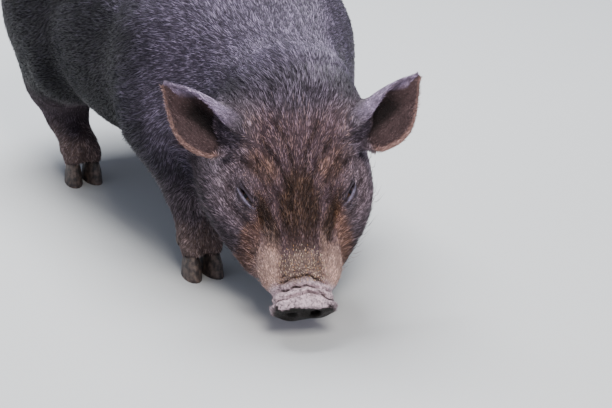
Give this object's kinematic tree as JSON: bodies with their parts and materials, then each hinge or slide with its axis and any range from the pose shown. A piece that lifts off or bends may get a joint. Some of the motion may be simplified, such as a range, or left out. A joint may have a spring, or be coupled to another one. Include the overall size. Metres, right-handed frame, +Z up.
{
  "type": "pot-bellied pig figure",
  "caption": "Life-size still model of a young dark pot-bellied pig, standing with its head lowered to drink and turned a little to its right.",
  "frame": {"origin": "on the floor under the middle of the pig's box", "axes": "+Z up, -Y the way the body faces, +X the pig's left side"},
  "size_m": [0.3102, 0.8438, 0.3543],
  "materials": {
    "hide_body": "dark blue-grey bristled hide with a soft sheen",
    "hide_neck": "dark grey bristled hide with silvery bristles",
    "hide_head": "brown bristled hide with rusty tips",
    "hide_snout": "grey-pink bare skin, damp at the disc",
    "hide_ear": "thin brown skin with pale rims",
    "hide_leg": "dark brown-grey bristled hide",
    "hide_tail": "dark hide with a tuft of coarse bristles",
    "horn_claw": "worn grey-pink horn",
    "eye_wet": "wet dark brown eye"
  },
  "bodies": {
    "root": {"torso": "hide_body", "neck": "hide_neck", "head": "hide_head", "snout": "hide_snout", "ear_right": "hide_ear", "ear_left": "hide_ear", "eye_right": "eye_wet", "eye_left": "eye_wet", "tail": "hide_tail", "leg_front_right": "hide_leg", "leg_front_left": "hide_leg", "leg_hind_right": "hide_leg", "leg_hind_left": "hide_leg", "claw_front_right_right": "horn_claw", "claw_front_right_left": "horn_claw", "claw_front_left_right": "horn_claw", "claw_front_left_left": "horn_claw", "claw_hind_right_right": "horn_claw", "claw_hind_right_left": "horn_claw", "claw_hind_left_right": "horn_claw", "claw_hind_left_left": "horn_claw", "dewclaw_front_right_right": "horn_claw", "dewclaw_front_right_left": "horn_claw", "dewclaw_front_left_right": "horn_claw", "dewclaw_front_left_left": "horn_claw", "dewclaw_hind_right_right": "horn_claw", "dewclaw_hind_right_left": "horn_claw", "dewclaw_hind_left_right": "horn_claw", "dewclaw_hind_left_left": "horn_claw"}
  },
  "joints": []
}
